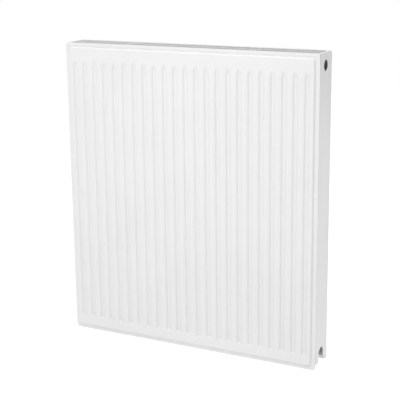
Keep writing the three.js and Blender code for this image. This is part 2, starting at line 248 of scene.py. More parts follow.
def link_ramp(nodes, links, source, socket, low, high):
    """Maps a noise value onto a range of colours or grey values."""
    ramp = nodes.new("ShaderNodeValToRGB")
    for element, position, colour in zip(ramp.color_ramp.elements, NOISE_RANGE, (low, high)):
        element.position = position
        element.color = colour
    links.new(source.outputs["Fac"], ramp.inputs["Fac"])
    links.new(ramp.outputs["Color"], socket)


def grey(value):
    return (value, value, value, 1.0)


def surface(name, low, high, roughness, grain, bump, blotch=6.0, metallic=0.0, specular=0.5):
    """A procedural surface: its colour drifts over blotches and its gloss over finer patches, with a
    bumpy grain. Blotch and grain are in features per metre."""
    material, nodes, links = new_material(name)
    shader = nodes["Principled BSDF"]
    shader.inputs["Metallic"].default_value = metallic
    shader.inputs["Specular IOR Level"].default_value = specular
    blotches = link_noise(nodes, links, blotch, detail=4.0)
    link_ramp(nodes, links, blotches, shader.inputs["Base Color"], (*low, 1.0), (*high, 1.0))
    cloud = link_noise(nodes, links, grain * GLOSS_SCALE)
    link_ramp(nodes, links, cloud, shader.inputs["Roughness"], grey(roughness[0]), grey(roughness[1]))
    fine = link_noise(nodes, links, grain, detail=2.0)
    relief = nodes.new("ShaderNodeBump")
    relief.inputs["Strength"].default_value = bump
    relief.inputs["Distance"].default_value = BUMP_DISTANCE
    links.new(fine.outputs["Fac"], relief.inputs["Height"])
    links.new(relief.outputs["Normal"], shader.inputs["Normal"])
    return material


def white_enamel():
    low, high = (0.832, 0.834, 0.834), (0.846, 0.849, 0.849)
    return surface("white_enamel", low, high, (0.30, 0.36), grain=700.0, bump=0.08)


# Painted shade: a mid grey on the inner sheets and the convectors that paints the shade inside the radiator
# onto them.
def inner_primer():
    low, high = (0.28, 0.282, 0.284), (0.32, 0.322, 0.324)
    return surface("inner_primer", low, high, (0.42, 0.5), grain=500.0, bump=0.10)


def tapping_steel():
    low, high = (0.006, 0.006, 0.007), (0.012, 0.012, 0.013)
    scale = {"grain": 1400.0, "blotch": 60.0}
    return surface("tapping_steel", low, high, (0.55, 0.7), bump=0.25, specular=0.1, **scale)


def nickel_plate():
    low, high = (0.66, 0.63, 0.58), (0.72, 0.70, 0.66)
    scale = {"grain": 1200.0, "blotch": 80.0}
    return surface("nickel_plate", low, high, (0.20, 0.30), bump=0.06, metallic=1.0, **scale)


def seal_rubber():
    low, high = (0.016, 0.016, 0.016), (0.026, 0.026, 0.026)
    return surface("seal_rubber", low, high, (0.65, 0.8), grain=2500.0, bump=0.3, blotch=200.0)


def white_plastic():
    low, high = (0.78, 0.78, 0.76), (0.82, 0.82, 0.80)
    return surface("white_plastic", low, high, (0.38, 0.46), grain=2200.0, bump=0.10, blotch=120.0)


def floor_paint():
    low, high = (0.94, 0.94, 0.94), (0.95, 0.95, 0.95)
    material = surface("floor", low, high, (0.7, 0.8), grain=60.0, bump=0.02, blotch=0.6)
    shader = material.node_tree.nodes["Principled BSDF"]
    shader.inputs["Emission Color"].default_value = grey(1.0)
    shader.inputs["Emission Strength"].default_value = FLOOR_GLOW
    return material


MAKERS = (white_enamel, inner_primer, tapping_steel, nickel_plate, seal_rubber, white_plastic)
MATERIALS = {make.__name__: make() for make in MAKERS}


def link_math(nodes, links, operation, first, second):
    """Adds a Math node; each input is a socket or a number."""
    node = nodes.new("ShaderNodeMath")
    node.operation = operation
    for socket, value in zip(node.inputs, (first, second)):
        if isinstance(value, bpy.types.NodeSocket):
            links.new(value, socket)
        else:
            socket.default_value = value
    return node.outputs["Value"]


def coat_rims(material, half_width, height):
    """The outer coat wraps round the panel's rims and fades out just inside them into the painted shade
    grey of the inner sheets.
    """
    nodes, links = material.node_tree.nodes, material.node_tree.links
    base = nodes["Principled BSDF"].inputs["Base Color"]
    # The colour already on the inner sheet: the grey of painted shade.
    inside = base.links[0].from_socket
    place = nodes.new("ShaderNodeTexCoord")
    split = nodes.new("ShaderNodeSeparateXYZ")
    links.new(place.outputs["Object"], split.inputs["Vector"])
    across = link_math(nodes, links, "ABSOLUTE", split.outputs["X"], 0.0)
    from_side = link_math(nodes, links, "SUBTRACT", half_width, across)
    from_top = link_math(nodes, links, "SUBTRACT", height, split.outputs["Z"])
    from_end = link_math(nodes, links, "MINIMUM", split.outputs["Z"], from_top)
    depth = link_math(nodes, links, "MINIMUM", from_side, from_end)
    fade = nodes.new("ShaderNodeMapRange")
    fade.inputs["From Min"].default_value = COAT_REACH
    fade.inputs["From Max"].default_value = COAT_REACH + COAT_FADE
    links.new(depth, fade.inputs["Value"])
    mix = nodes.new("ShaderNodeMixRGB")
    mix.inputs["Color1"].default_value = (*COAT_COLOUR, 1.0)
    links.new(fade.outputs["Result"], mix.inputs["Fac"])
    links.new(inside, mix.inputs["Color2"])
    links.new(mix.outputs["Color"], base)


# Mesh helpers


def mesh_from(name, vertices, faces):
    mesh = bpy.data.meshes.new(name)
    mesh.from_pydata([tuple(v) for v in vertices], [], [tuple(int(i) for i in f) for f in faces])
    mesh.update()
    return mesh


def add_piece(name, mesh, body, slot, *nodes, sharp=FOLD_SHARP):
    """Puts a finished mesh in the scene as a piece on a body that stands for the given CAD nodes."""
    mesh.polygons.foreach_set("use_smooth", [True] * len(mesh.polygons))
    mesh.set_sharp_from_angle(angle=math.radians(sharp))
    mesh.materials.clear()
    mesh.materials.append(MATERIALS[slot])
    piece = bpy.data.objects.new(name, mesh)
    bpy.context.scene.collection.objects.link(piece)
    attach(piece, body)
    if nodes:
        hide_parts(*nodes)
    return piece


def weighted(piece):
    """Keeps large flat faces flat where they meet small rounded edges."""
    modifier = piece.modifiers.new("weighted_normals", "WEIGHTED_NORMAL")
    modifier.keep_sharp = True
    return piece


def evaluated_mesh(source):
    bpy.context.view_layer.update()
    graph = bpy.context.evaluated_depsgraph_get()
    return bpy.data.meshes.new_from_object(source.evaluated_get(graph))


def joined(name, *meshes):
    """One mesh from several closed ones."""
    whole = bmesh.new()
    for mesh in meshes:
        whole.from_mesh(mesh)
    result = bpy.data.meshes.new(name)
    whole.to_mesh(result)
    whole.free()
    return result


def boolean(first, second, operation):
    """The exact union or difference of two closed meshes."""
    base = bpy.data.objects.new("base", first)
    tool = bpy.data.objects.new("tool", second)
    for item in (base, tool):
        bpy.context.scene.collection.objects.link(item)
    modifier = base.modifiers.new("boolean", "BOOLEAN")
    modifier.operation = operation
    modifier.object = tool
    modifier.solver = "EXACT"
    result = evaluated_mesh(base)
    for item in (base, tool):
        bpy.data.objects.remove(item)
    return result


# Pressed sheets


def rounded_step(t, blend):
    """Rises from 0 to 1 as t does, straight in the middle and rounded off at both ends."""
    low = (t + blend) ** 2 / (4 * blend)
    high = 1 - (1 - t + blend) ** 2 / (4 * blend)
    straight = np.where(t < blend, low, np.where(t > 1 - blend, high, t))
    return np.where(t < -blend, 0.0, np.where(t > 1 + blend, 1.0, straight))


def inside_distance(x, z, width, height, inset, radius):
    """How far a point lies inside a rounded rectangle that stands on z = 0; negative outside."""
    across = np.abs(x) - (width / 2 - inset - radius)
    along = np.abs(z - height / 2) - (height / 2 - inset - radius)
    outer = np.hypot(np.maximum(across, 0), np.maximum(along, 0))
    return radius - outer - np.minimum(np.maximum(across, along), 0)


def groove_centres(width):
    """The grooves divide the panel's width evenly."""
    return [(i + 1) * width / (GROOVES + 1) - width / 2 for i in range(GROOVES)]


def straight_span(height, ends):
    """Where a groove's sides run straight, from and to."""
    reach = GROOVE_SLOPE + GROOVE_FLOOR / 2
    return ends[0] + reach / GROOVE_RUN_OUT[0], height - ends[1] - reach / GROOVE_RUN_OUT[1]


def pressed_height(x, z, width, height, rise, centres, ends):
    """Height of the pressed surface over its flat rim."""
    field = inside_distance(x, z, width, height, FLANGE + FIELD_SLOPE, FIELD_CORNER)
    raised = rounded_step(1 + field / FIELD_SLOPE, FIELD_BLEND)
    half = GROOVE_FLOOR / 2
    low, high = straight_span(height, ends)
    below, above = GROOVE_RUN_OUT
    beyond = np.maximum(low - z, 0) * below + np.maximum(z - high, 0) * above
    for centre in centres:
        across = np.hypot(x - centre, beyond)
        raised = raised * rounded_step((across - half) / GROOVE_SLOPE, GROOVE_BLEND)
    rim = inside_distance(x, z, width, height, 0.0, FLANGE_CORNER)
    track = np.clip(1 - np.abs(rim - WELD_TRACK) / WELD_TRACK_HALF, 0, 1)
    crease = np.interp(rim, CREASE, (0, 1, 1, 0))
    rounding = RIM_EDGE * np.clip(1 - rim / RIM_EDGE, 0, 1) ** 2
    sunk = WELD_TRACK_DEPTH * track * track * (3 - 2 * track) + CREASE_DEPTH * crease
    return rise * raised - sunk - rounding


def edge_lines():
    """Distances in from a sheet's edge where its surface bends: the edge, the weld track and the slope."""
    track = np.linspace(WELD_TRACK - WELD_TRACK_HALF, WELD_TRACK + WELD_TRACK_HALF, WELD_TRACK_LINES)
    reach = FIELD_BLEND * FIELD_SLOPE
    field = FLANGE + FIELD_SLOPE
    slope = np.linspace(FLANGE - reach, field + reach, FIELD_SLOPE_LINES)
    corner = [FLANGE_CORNER, field + FIELD_CORNER * CORNER_LINE, field + FIELD_CORNER]
    return sorted([*RIM_LINES, *track, *CREASE, *slope, *corner])


def grid_lines(low, high, extra):
    """Sorted grid positions between two edges, with the edge lines at both ends."""
    lines = [low + d for d in edge_lines()] + [high - d for d in edge_lines()] + list(extra)
    return np.array(sorted(set(round(v, 7) for v in lines if low <= v <= high)))


def round_corners(x, z, width, height):
    """Moves the grid's square corners onto the rim's round ones."""
    reach = FLANGE_CORNER
    a = (np.abs(x) - (width / 2 - reach)) / reach
    b = (np.abs(z - height / 2) - (height / 2 - reach)) / reach
    corner = (a > 0) & (b > 0)
    across = np.where(corner, a * np.sqrt(1 - np.clip(b, 0, 1) ** 2 / 2), a)
    along = np.where(corner, b * np.sqrt(1 - np.clip(a, 0, 1) ** 2 / 2), b)
    new_x = np.where(corner, np.sign(x) * (width / 2 - reach + across * reach), x)
    new_z = np.where(corner, height / 2 + np.sign(z - height / 2) * (height / 2 - reach + along * reach), z)
    return new_x, new_z


def sheet_grid(width, height, centres, ends):
    """The grid of a pressed sheet, close together on the walls and the ends of its grooves."""
    reach = GROOVE_BLEND * GROOVE_SLOPE
    half = GROOVE_FLOOR / 2
    wall = np.linspace(half - reach, half + GROOVE_SLOPE + reach, GROOVE_WALL_LINES)
    across = [c + side * d for c in centres for d in wall for side in (-1, 1)] + centres
    below, above = straight_span(height, ends)
    steps = np.linspace(0, half + GROOVE_SLOPE + reach, GROOVE_END_LINES)
    along = [*(below - steps / GROOVE_RUN_OUT[0]), *(above + steps / GROOVE_RUN_OUT[1])]
    along += list(np.linspace(below, above, GROOVE_LENGTH_LINES))
    xs = grid_lines(-width / 2, width / 2, across)
    zs = grid_lines(0.0, height, along)
    return np.meshgrid(xs, zs, indexing="ij")


def skin_faces(rows, columns):
    """The faces of a closed skin: a front grid, a back grid and the walls along their border."""
    count = rows * columns
    index = np.arange(count).reshape(rows, columns)
    quads = np.stack([index[:-1, :-1], index[1:, :-1], index[1:, 1:], index[:-1, 1:]], -1).reshape(-1, 4)
    border = np.concatenate([index[:, 0], index[-1, 1:], index[-2::-1, -1], index[0, -2:0:-1]])
    following = np.roll(border, -1)
    walls = np.stack([border, border + count, following + count, following], -1)
    return np.concatenate([quads, quads[:, ::-1] + count, walls])


def pressed_sheet(name, node, outward, ends, pitch_width):
    """One panel sheet as a closed skin. outward is -1 or 1, the way its pressed side looks along Y."""
    low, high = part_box(node)
    width, height = high.x - low.x, high.z
    centres = groove_centres(pitch_width)
    x, z = sheet_grid(width, height, centres, ends)
    faces = skin_faces(*x.shape)
    x, z = round_corners(x, z, width, height)
    rise = (high.y - low.y) - SHEET
    outer = pressed_height(x, z, width, height, rise, centres, ends)
    inner = np.maximum(outer, 0.0) - SHEET
    base = (high.y if outward < 0 else low.y) + outward * SHEET
    sides = [np.stack([x, base + outward * lift, z], axis=-1).reshape(-1, 3) for lift in (outer, inner)]
    if outward > 0:
        faces = faces[:, ::-1]
    return mesh_from(name, np.concatenate(sides), faces)


# Flat sheet pieces with cut-outs, folded afterwards


def arc(centre, radius, start, end, steps):
    """Points along an arc, in degrees, without its last point."""
    angles = [math.radians(start + (end - start) * i / steps) for i in range(steps)]
    return [(centre[0] + radius * math.cos(a), centre[1] + radius * math.sin(a)) for a in angles]


def flat_sheet(outline, holes, thickness):
    """A flat plate in the XY plane with a rounded cut edge. The outline runs counter-clockwise and
    the holes run clockwise."""
    curve = bpy.data.curves.new("outline", "CURVE")
    curve.dimensions = "2D"
    curve.fill_mode = "BOTH"
    curve.extrude = thickness / 2 - EDGE_ROUND
    curve.bevel_depth = EDGE_ROUND
    curve.bevel_resolution = 1
    curve.offset = -EDGE_ROUND
    for points in [outline, *holes]:
        spline = curve.splines.new("POLY")
        spline.points.add(len(points) - 1)
        for point, (x, y) in zip(spline.points, points):
            point.co = (x, y, 0.0, 1.0)
        spline.use_cyclic_u = True
    drawing = bpy.data.objects.new("drawing", curve)
    bpy.context.scene.collection.objects.link(drawing)
    mesh = evaluated_mesh(drawing)
    bpy.data.objects.remove(drawing)
    work = bmesh.new()
    work.from_mesh(mesh)
    bmesh.ops.remove_doubles(work, verts=work.verts, dist=MERGE_DISTANCE)
    return work


def fold_path(lip, middle):
    """Sections of a channel's unfolded width: a lip, a bend, the middle, a bend and the other lip."""
    bend = BEND * math.pi / 2
    return [0.0, lip, lip + bend, lip + bend + middle, lip + 2 * bend + middle, 2 * lip + 2 * bend + middle]


def fold_place(s, lip, middle):
    """Where a place along the unfolded width goes: how far across, how far up, and the tilt there."""
    marks = fold_path(lip, middle)
    if s <= marks[1]:
        return -BEND - middle / 2, s - lip - BEND, math.pi / 2
    if s <= marks[2]:
        turn = (s - marks[1]) / BEND
        return -middle / 2 - BEND * math.cos(turn), -BEND + BEND * math.sin(turn), math.pi / 2 - turn
    if s <= marks[3]:
        return s - marks[2] - middle / 2, 0.0, 0.0
    if s <= marks[4]:
        turn = (s - marks[3]) / BEND
        return middle / 2 + BEND * math.sin(turn), -BEND + BEND * math.cos(turn), -turn
    return middle / 2 + BEND, -BEND - (s - marks[4]), -math.pi / 2


def fold(work, name, lip, middle, place):
    """Bends a flat plate whose X is the unfolded width into a channel. place(across, along, up) gives
    the point in the frame."""
    marks = fold_path(lip, middle)
    cuts = list(np.linspace(marks[1], marks[2], BEND_STEPS + 1))
    cuts += list(np.linspace(marks[3], marks[4], BEND_STEPS + 1))
    for cut in cuts:
        parts = work.verts[:] + work.edges[:] + work.faces[:]
        plane = {"plane_co": (cut, 0, 0), "plane_no": (1, 0, 0)}
        bmesh.ops.bisect_plane(work, geom=parts, dist=CUT_TOLERANCE, **plane)
    for vertex in work.verts:
        across, up, tilt = fold_place(vertex.co.x, lip, middle)
        lift = vertex.co.z
        across -= lift * math.sin(tilt)
        up += lift * math.cos(tilt)
        vertex.co = place(across, vertex.co.y, up)
    bmesh.ops.recalc_face_normals(work, faces=work.faces)
    mesh = bpy.data.meshes.new(name)
    work.to_mesh(mesh)
    work.free()
    return mesh


def racetrack(x, y, half_width, half_length, steps=8):
    """A slot along Y with round ends, clockwise."""
    straight = half_length - half_width
    top = arc((x, y + straight), half_width, 180, 0, steps) + [(x + half_width, y + straight)]
    bottom = arc((x, y - straight), half_width, 0, -180, steps) + [(x - half_width, y - straight)]
    return top + bottom


def top_grille():
    """The slotted top, folded down along its front and rear edges."""
    low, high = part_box("top_grille")
    half = GRILLE_SHEET / 2
    lip = (high.z - low.z) - half - BEND
    middle = (high.y - low.y) - GRILLE_SHEET - 2 * BEND
    total = fold_path(lip, middle)[-1]
    length = high.x - low.x
    centre_y = (low.y + high.y) / 2
    outline = [(0.0, -length / 2), (total, -length / 2), (total, length / 2), (0.0, length / 2)]
    panel_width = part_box("front_panel_outer_sheet")[1].x * 2
    pitch = panel_width / (GROOVES + 1) / 4
    holes = []
    for row in (-SLOT_ROW_OFFSET, SLOT_ROW_OFFSET):
        for i in range(SLOTS_PER_ROW):
            along = (i - (SLOTS_PER_ROW - 1) / 2) * pitch
            slot = racetrack(along, total / 2 + row, SLOT_WIDTH / 2, SLOT_LENGTH / 2)
            holes.append([(b, a) for a, b in reversed(slot)])
    work = flat_sheet(outline, holes, GRILLE_SHEET)

    def place(across, along, up):
        return (along, centre_y + across, high.z - half + up)

    return fold(work, "top_grille_fine", lip, middle, place)


def side_cover(node, side, socket_y):
    """A side cover with its hole, its notch and the two lips. side is -1 on the left and 1 on the right."""
    low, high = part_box(node)
    half = COVER_SHEET / 2
    lip = (high.x - low.x) - half - BEND
    middle = (high.y - low.y) - COVER_SHEET - 2 * BEND
    marks = fold_path(lip, middle)
    bottom, top = low.z, high.z
    lip_low, lip_high = bottom + COVER_LIP_ENDS, top - COVER_LIP_ENDS
    centre_y = (low.y + high.y) / 2
    total = marks[-1]
    middle_s = total / 2 + (socket_y - centre_y)
    arch = COVER_NOTCH_TOP - COVER_NOTCH
    left, right = marks[2], marks[3]
    tee_low, tee_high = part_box("tapping_tee_top_right")
    hole_z = (tee_low.z + tee_high.z) / 2
    corner = COVER_LIP_CORNER
    outline = [
        (left, bottom),
        (middle_s - COVER_NOTCH, bottom),
        *arc((middle_s, arch), COVER_NOTCH, 180, 0, NOTCH_STEPS),
        (middle_s + COVER_NOTCH, arch),
        (middle_s + COVER_NOTCH, bottom),
        (right, bottom),
        (right, lip_low),
        *arc((total - corner, lip_low + corner), corner, -90, 0, LIP_CORNER_STEPS),
        (total, lip_low + corner),
        *arc((total - corner, lip_high - corner), corner, 0, 90, LIP_CORNER_STEPS),
        (total - corner, lip_high),
        (right, lip_high),
        (right, top),
        (left, top),
        (left, lip_high),
        *arc((corner, lip_high - corner), corner, 90, 180, LIP_CORNER_STEPS),
        (0.0, lip_high - corner),
        *arc((corner, lip_low + corner), corner, 180, 270, LIP_CORNER_STEPS),
        (corner, lip_low),
        (left, lip_low),
    ]
    hole = arc((middle_s, hole_z), COVER_HOLE, 360, 0, HOLE_STEPS)
    work = flat_sheet(outline, [hole], COVER_SHEET)
    outside = high.x if side > 0 else low.x

    def place(across, along, up):
        return (outside - side * (half - up), centre_y + across, along)

    return fold(work, node + "_fine", lip, middle, place)


# Bent strips: a folded line with rounded bends, given a thickness and a width


def rounded_line(points, radius, steps=5):
    """A polyline with its corners rounded off."""
    line = [Vector(points[0])]
    for before, corner, after in zip(points, points[1:], points[2:]):
        a = (Vector(before) - Vector(corner)).normalized()
        b = (Vector(after) - Vector(corner)).normalized()
        half = math.acos(max(-1.0, min(1.0, a.dot(b)))) / 2
        reach = min(radius / math.tan(half), LEG_SHARE * (Vector(before) - Vector(corner)).length)
        start, end = Vector(corner) + a * reach, Vector(corner) + b * reach
        for i in range(steps + 1):
            t = i / steps
            line.append((1 - t) ** 2 * start + 2 * t * (1 - t) * Vector(corner) + t * t * end)
    line.append(Vector(points[-1]))
    return line


def strip(name, line, thickness, stations, place):
    """A bent strip: the line is its section, stations are the places along its width."""
    near, far = [], []
    for i, point in enumerate(line):
        before = (point - line[i - 1]).normalized() if i > 0 else None
        after = (line[i + 1] - point).normalized() if i < len(line) - 1 else None
        first = before or after
        along = (first + (after or before)).normalized()
        reach = thickness / 2 / along.dot(first)
        normal = Vector((-along.y, along.x)) * reach
        near.append(point - normal)
        far.append(point + normal)
    count = len(line)
    loop = near + far[::-1]
    vertices = [place(p.x, p.y, s) for s in stations for p in loop]
    size = len(loop)
    faces = []
    for k in range(len(stations) - 1):
        for i in range(size):
            j = (i + 1) % size
            faces.append((k * size + i, k * size + j, (k + 1) * size + j, (k + 1) * size + i))
    last = (len(stations) - 1) * size
    for i in range(count - 1):
        faces.append((i, size - 1 - i, size - 2 - i, i + 1))
        faces.append((last + i, last + i + 1, last + size - 2 - i, last + size - 1 - i))
    mesh = mesh_from(name, vertices, faces)
    work = bmesh.new()
    work.from_mesh(mesh)
    bmesh.ops.recalc_face_normals(work, faces=work.faces)
    work.to_mesh(mesh)
    work.free()
    return mesh


def bevelled(piece, width):
    """Rounds a strip's cut edges."""
    modifier = piece.modifiers.new("edge_rounding", "BEVEL")
    modifier.width = width
    modifier.segments = 2
    modifier.limit_method = "ANGLE"
    modifier.angle_limit = math.radians(BEVEL_ANGLE)
    return weighted(piece)


def convector(node, towards_panel):
    """The corrugated fin sheet. towards_panel is -1 where the panel is on the low-Y side."""
    low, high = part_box(node)
    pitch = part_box("front_panel_outer_sheet")[1].x * 2 / (GROOVES + 1)
    half = FIN_FLAT / 2
    start = low.x + half
    periods = round((high.x - low.x - FIN_FLAT) / pitch)
    skin = FIN_SHEET / 2
    panel_side = low.y + skin if towards_panel < 0 else high.y - skin
    outer_side = high.y - skin if towards_panel < 0 else low.y + skin
    points = [(low.x, panel_side)]
    for i in range(periods):
        crest = start + i * pitch
        trough = crest + pitch / 2
        points += [(crest + half, panel_side), (trough - half, outer_side)]
        points += [(trough + half, outer_side), (crest + pitch - half, panel_side)]
    points.append((high.x, panel_side))
    line = rounded_line(points, FIN_BEND, steps=4)
    stations = np.linspace(low.z, high.z, FIN_STATIONS)
    return strip(node + "_fine", line, FIN_SHEET, stations, lambda x, y, z: (x, y, z))


def grille_clip(node):
    """A spring clip: an upside-down U whose legs splay towards their feet."""
    low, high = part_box(node)
    skin = CLIP_SHEET / 2
    knee = (low.z + high.z) / 2
    front, rear, top = low.y + skin, high.y - skin, high.z - skin
    points = [
        (rear, low.z),
        (rear - CLIP_SPLAY, knee),
        (rear - CLIP_SPLAY, top),
        (front + CLIP_SPLAY, top),
        (front + CLIP_SPLAY, knee),
        (front, low.z),
    ]
    line = rounded_line(points, CLIP_BEND)
    return strip(node + "_fine", line, CLIP_SHEET, [low.x, high.x], lambda y, z, x: (x, y, z))


def hanging_lug(node):
    """A lug: two feet on the panel and a bridge that stands off it."""
    low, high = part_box(node)
    skin = LUG_SHEET / 2
    centre = (low.x + high.x) / 2
    foot, bridge = low.y + skin, high.y - skin
    points = [
        (low.x, foot),
        (centre - LUG_FOOT, foot),
        (centre - LUG_BRIDGE_HALF, bridge),
        (centre + LUG_BRIDGE_HALF, bridge),
        (centre + LUG_FOOT, foot),
        (high.x, foot),
    ]
    line = rounded_line(points, LUG_BEND)
    return strip(node + "_fine", line, LUG_SHEET, [low.z, high.z], lambda x, y, z: (x, y, z))


# Turned pieces, drawn along +X


def polygon_radius(theta, corners, across):
    """Distance from the axis to the flats of a regular polygon."""
    wedge = 2 * math.pi / corners
    return across / 2 / np.cos((theta + wedge / 2) % wedge - wedge / 2)


def turned(name, profile, place, sides=TURNED_SIDES):
    """A closed body of revolution. The profile is a loop of (x, radius), or it starts and ends on the axis.
    A radius may be a function of the angle. place(x, y, z) puts each point in the frame."""
    theta = np.arange(sides) * 2 * math.pi / sides
    vertices, rings = [], []
    for x, radius in profile:
        if not callable(radius) and radius == 0:
            rings.append([len(vertices)])
            vertices.append(place(x, 0.0, 0.0))
            continue
        spread = radius(theta) if callable(radius) else np.full(sides, radius)
        rings.append(list(range(len(vertices), len(vertices) + sides)))
        vertices += [place(x, r * math.cos(t), r * math.sin(t)) for r, t in zip(spread, theta)]
    open_ended = len(rings[0]) == 1
    pairs = list(zip(rings, rings[1:])) + ([] if open_ended else [(rings[-1], rings[0])])
    faces = []
    for a, b in pairs:
        for i in range(sides):
            j = (i + 1) % sides
            face = [a[i % len(a)], a[j % len(a)], b[j % len(b)], b[i % len(b)]]
            faces.append(list(dict.fromkeys(face)))
    mesh = mesh_from(name, vertices, [])
    work = bmesh.new()
    work.from_mesh(mesh)
    work.verts.ensure_lookup_table()
    for face in faces:
        work.faces.new([work.verts[i] for i in face])
    bmesh.ops.recalc_face_normals(work, faces=work.faces)
    work.to_mesh(mesh)
    work.free()
    return mesh


def along_x(side, start, y, z):
    """Places a turned piece with its axis along X: outwards from start towards side."""

    def place(x, a, b):
        return (start + side * x, y + side * a, z + b)

    return place


def along_y(x, y, z):
    """Places a turned piece with its axis along Y."""

    def place(a, b, c):
        return (x - b, y + a, z + c)

    return place


def thread_radius(x, outer, depth):
    """The radius round a thread's section at x, as a function of the angle."""

    def radius(theta):
        phase = (x / THREAD_PITCH - theta / (2 * math.pi)) % 1.0
        return outer - depth * (1 - np.abs(2 * phase - 1))

    return radius


def socket_thread(start, length):
    """Profile points of a socket's thread, from its mouth inwards."""
    steps = max(2, int(length / THREAD_PITCH * THREAD_STEPS))
    places = [start + length * i / steps for i in range(steps + 1)]
    return [(-x, thread_radius(x, SOCKET_BORE, THREAD_DEPTH)) for x in places]


def cross_tube(side, x, y, z, reach):
    """The tube between the panels, drilled where its socket meets it."""
    inner, outer = TEE_TUBE_BORE, TEE_TUBE_RADIUS
    tube = [(-reach, inner), (-reach, outer), (reach, outer), (reach, inner)]
    radius = SOCKET_BORE - THREAD_DEPTH
    drill = [(0.0, 0.0), (0.0, radius), (DRILL_LENGTH, radius), (DRILL_LENGTH, 0.0)]
    tube_mesh = turned("tube", tube, along_y(x, y, z))
    drill_mesh = turned("drill", drill, along_x(side, x, y, z))
    return boolean(tube_mesh, drill_mesh, "DIFFERENCE")


def threaded_socket(radius, depth, place):
    """The socket, inwards from its mouth at 0, with an eased foot and a chamfered mouth."""
    chamfer = SOCKET_CHAMFER
    profile = [
        (-depth, radius - chamfer),
        (-depth + SOCKET_FOOT, radius),
        (-chamfer, radius),
        (-chamfer * CHAMFER_TURN, radius - chamfer * CHAMFER_TURN),
        (0.0, radius - chamfer),
        (0.0, SOCKET_BORE + SOCKET_MOUTH_EASE),
        *socket_thread(chamfer, depth - chamfer),
    ]
    return turned("socket", profile, place)


def weld_bead(way, place):
    """The weld fillet between a tube's end and the panel behind it."""
    return turned("bead", [(way * x, TEE_TUBE_RADIUS + out) for x, out in WELD_BEAD], place)


def tapping_tee(node, side):
    """The cross tube between the panels and its threaded socket, with weld fillets."""
    low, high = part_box(node)
    y, z = (low.y + high.y) / 2, (low.z + high.z) / 2
    tube_x = (low.x if side > 0 else high.x) + side * TEE_TUBE_RADIUS
    mouth = high.x if side > 0 else low.x
    tube_mesh = cross_tube(side, tube_x, y, z, (high.y - low.y) / 2)
    depth = abs(mouth - tube_x) - TEE_TUBE_BORE
    socket_mesh = threaded_socket((high.z - low.z) / 2, depth, along_x(side, mouth, y, z))
    sheet_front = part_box("front_panel_inner_sheet")[1].y
    sheet_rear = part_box("rear_panel_inner_sheet")[0].y
    beads = [weld_bead(way, along_y(tube_x, end, z)) for end, way in ((sheet_front, 1), (sheet_rear, -1))]
    return joined(node + "_fine", tube_mesh, socket_mesh, *beads)


# Air vent and blanking plug, outwards from the mouth of the left sockets


def polygon_section(corners, across, limit):
    """A regular polygon's section with its corners turned off at a radius."""
    return lambda theta: np.minimum(polygon_radius(theta, corners, across), limit)


def hexagon(out):
    return polygon_section(6, HEX_ACROSS, HEX_ACROSS / 2 + out)


def plug_profile(hex_end):
    """The threaded shank and the chamfered hexagon, up to the hexagon's outer face."""
    steps = int(SHANK_LENGTH / THREAD_PITCH * THREAD_STEPS)
    start = -SHANK_LENGTH + SHANK_LEAD
    places = [start + (SHANK_LENGTH - SHANK_LEAD) * i / steps for i in range(steps + 1)]
    depth = SHANK_THREAD_SHARE * THREAD_DEPTH
    return [
        *((-SHANK_LENGTH + x, radius) for x, radius in SHANK_TIP),
        *((x, thread_radius(x, SHANK_RADIUS, depth)) for x in places),
        (NECK_START, SHANK_NECK),
        (HEX_START, SHANK_NECK),
        *((HEX_START + x, hexagon(out)) for x, out in HEX_CHAMFER),
        *((hex_end - x, hexagon(out)) for x, out in reversed(HEX_CHAMFER)),
    ]


def seal_ring(node, place):
    """A ring with rounded edges."""
    ease = SEAL_ROUND
    profile = [
        (SEAL_START, SEAL_INNER + ease),
        (SEAL_START + ease, SEAL_INNER),
        (SEAL_END - ease, SEAL_INNER),
        (SEAL_END, SEAL_INNER + ease),
        (SEAL_END, SEAL_OUTER - ease),
        (SEAL_END - ease, SEAL_OUTER),
        (SEAL_START + ease, SEAL_OUTER),
        (SEAL_START, SEAL_OUTER - ease),
    ]
    return turned(node + "_fine", profile, place)


def air_vent_body(place):
    """The shank and the hexagon, a spigot that carries the outlet, and the bore for the bleed screw."""
    profile = plug_profile(HEX_END) + [
        (HEX_END, SPIGOT_RADIUS + SPIGOT_FILLET[1]),
        (HEX_END + SPIGOT_FILLET[0], SPIGOT_RADIUS),
        (SPIGOT_END - SPIGOT_CHAMFER, SPIGOT_RADIUS),
        (SPIGOT_END, SPIGOT_RADIUS - SPIGOT_CHAMFER),
        (SPIGOT_END, SPIGOT_BORE + BORE_CHAMFER),
        (SPIGOT_END - BORE_CHAMFER, SPIGOT_BORE),
        (-SHANK_LENGTH + SPIGOT_CHAMFER, SPIGOT_BORE),
        (-SHANK_LENGTH, SPIGOT_BORE + SPIGOT_CHAMFER),
    ]
    return turned("air_vent_body_fine", profile, place)


def knurled(radius):
    return lambda theta: radius + KNURL_DEPTH * np.cos(KNURLS * theta)


def air_vent_outlet(place):
    """The knurled ring that turns on the spigot, and its spout, which points down."""
    start, end = OUTLET_START, OUTLET_END
    grip = knurled(OUTLET_OUTER - KNURL_DEPTH)
    ring = [
        (start, OUTLET_INNER),
        (end, OUTLET_INNER),
        *((end - x, OUTLET_OUTER - inset) for x, inset in OUTLET_EDGE),
        (end - OUTLET_PLAIN, grip),
        (start + OUTLET_PLAIN, grip),
        *((start + x, OUTLET_OUTER - inset) for x, inset in reversed(OUTLET_EDGE)),
    ]
    ring_mesh = turned("ring", ring, place, sides=OUTLET_SIDES)
    middle = (start + end) / 2
    spout_mesh = turned("spout", SPOUT, lambda x, a, b: place(middle + a, b, -x), sides=SPOUT_SIDES)
    return joined("air_vent_outlet_fine", ring_mesh, spout_mesh)


